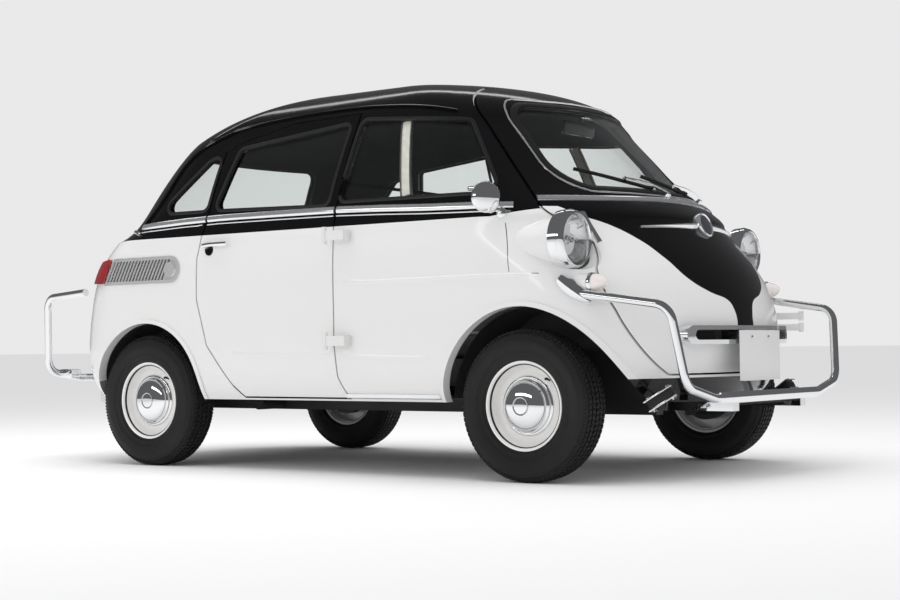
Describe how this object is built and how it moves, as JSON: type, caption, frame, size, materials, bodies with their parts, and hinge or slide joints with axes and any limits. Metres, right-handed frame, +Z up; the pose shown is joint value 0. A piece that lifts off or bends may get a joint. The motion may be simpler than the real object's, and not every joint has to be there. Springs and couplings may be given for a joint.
{
  "type": "bubble car",
  "caption": "Four seat bubble car with a full width front door, one side door, rear engine lid, steered front wheels and tube bumpers.",
  "frame": {"origin": "on the ground below the middle of the car's overall length and width", "axes": "+X forward, +Y to the car's left, +Z up"},
  "size_m": [2.9, 1.59, 1.375],
  "materials": {
    "white_paint": "gloss",
    "black_paint": "gloss",
    "chassis_black": "satin",
    "window_glass": "clear",
    "lamp_glass": "clear",
    "chrome_trim": "polished",
    "red_lens": "clear",
    "amber_lens": "clear",
    "rim_paint": "gloss",
    "tyre_rubber": "matte",
    "cast_metal": "satin",
    "seat_cloth": "woven",
    "dash_paint": "gloss",
    "wheel_plastic": "gloss"
  },
  "bodies": {
    "body": {"body_shell": "white_paint", "roof_shell": "black_paint", "side_grilles": "chrome_trim", "tail_lamps": "red_lens", "indicators": "amber_lens", "mirrors": "chrome_trim", "hinges": "white_paint", "bulkhead": "chassis_black", "fixed_side_glass": "window_glass", "rear_glass": "window_glass", "floor_pan": "chassis_black", "chassis_frame": "chassis_black", "wheelhouses": "chassis_black", "front_suspension": "chassis_black", "rear_suspension": "chassis_black", "engine_block": "cast_metal", "silencer": "chassis_black", "front_seat": "seat_cloth", "rear_seat": "seat_cloth", "headlamps": "chrome_trim", "headlamp_glass": "lamp_glass", "front_bumper": "chrome_trim", "rear_bumper": "chrome_trim"},
    "front_door": {"front_door": "white_paint", "windscreen": "window_glass", "steering_column": "dash_paint", "dashboard": "dash_paint", "front_bar": "chrome_trim"},
    "steering_wheel": {"steering_wheel": "wheel_plastic"},
    "side_door": {"side_door": "white_paint", "side_door_glass": "window_glass"},
    "engine_lid": {"engine_lid": "white_paint"},
    "knuckle_left": {"knuckle_left": "chassis_black"},
    "knuckle_right": {"knuckle_right": "chassis_black"},
    "wheel_front_left": {"tyre_front_left": "tyre_rubber", "rim_front_left": "rim_paint", "hub_cap_front_left": "chrome_trim"},
    "wheel_front_right": {"tyre_front_right": "tyre_rubber", "rim_front_right": "rim_paint", "hub_cap_front_right": "chrome_trim"},
    "wheel_rear_left": {"tyre_rear_left": "tyre_rubber", "rim_rear_left": "rim_paint", "hub_cap_rear_left": "chrome_trim"},
    "wheel_rear_right": {"tyre_rear_right": "tyre_rubber", "rim_rear_right": "rim_paint", "hub_cap_rear_right": "chrome_trim"}
  },
  "joints": [
    {"name": "front_door_hinge", "type": "hinge", "parent": "body", "child": "front_door", "pos_m": [1.275, 0.62, 0.54], "axis": [0, 0, 1], "range_deg": [0, 70]},
    {"name": "steering", "type": "hinge", "parent": "front_door", "child": "steering_wheel", "pos_m": [0.76, 0.27, 0.77], "axis": [-0.7768, 0, 0.6298], "range_deg": [-420, 420]},
    {"name": "side_door_hinge", "type": "hinge", "parent": "body", "child": "side_door", "pos_m": [0.138, -0.704, 0.6], "axis": [0, 0, 1], "range_deg": [0, 70]},
    {"name": "engine_lid_hinge", "type": "hinge", "parent": "body", "child": "engine_lid", "pos_m": [-1.16, 0, 0.858], "axis": [0, 1, 0], "range_deg": [0, 60]},
    {"name": "steer_left", "type": "hinge", "parent": "body", "child": "knuckle_left", "pos_m": [0.913, 0.505, 0.242], "axis": [0, 0, 1], "range_deg": [-35, 35]},
    {"name": "steer_right", "type": "hinge", "parent": "body", "child": "knuckle_right", "pos_m": [0.913, -0.505, 0.242], "axis": [0, 0, 1], "range_deg": [-35, 35]},
    {"name": "spin_front_left", "type": "hinge", "parent": "knuckle_left", "child": "wheel_front_left", "pos_m": [0.913, 0.61, 0.242], "axis": [0, 1, 0], "continuous": true},
    {"name": "spin_front_right", "type": "hinge", "parent": "knuckle_right", "child": "wheel_front_right", "pos_m": [0.913, -0.61, 0.242], "axis": [0, 1, 0], "continuous": true},
    {"name": "spin_rear_left", "type": "hinge", "parent": "body", "child": "wheel_rear_left", "pos_m": [-0.787, 0.58, 0.242], "axis": [0, 1, 0], "continuous": true},
    {"name": "spin_rear_right", "type": "hinge", "parent": "body", "child": "wheel_rear_right", "pos_m": [-0.787, -0.58, 0.242], "axis": [0, 1, 0], "continuous": true}
  ],
  "couplings": [
    {"joint": "steering", "follows": "steer_left", "ratio": 12},
    {"joint": "steer_right", "follows": "steer_left", "ratio": 1}
  ]
}
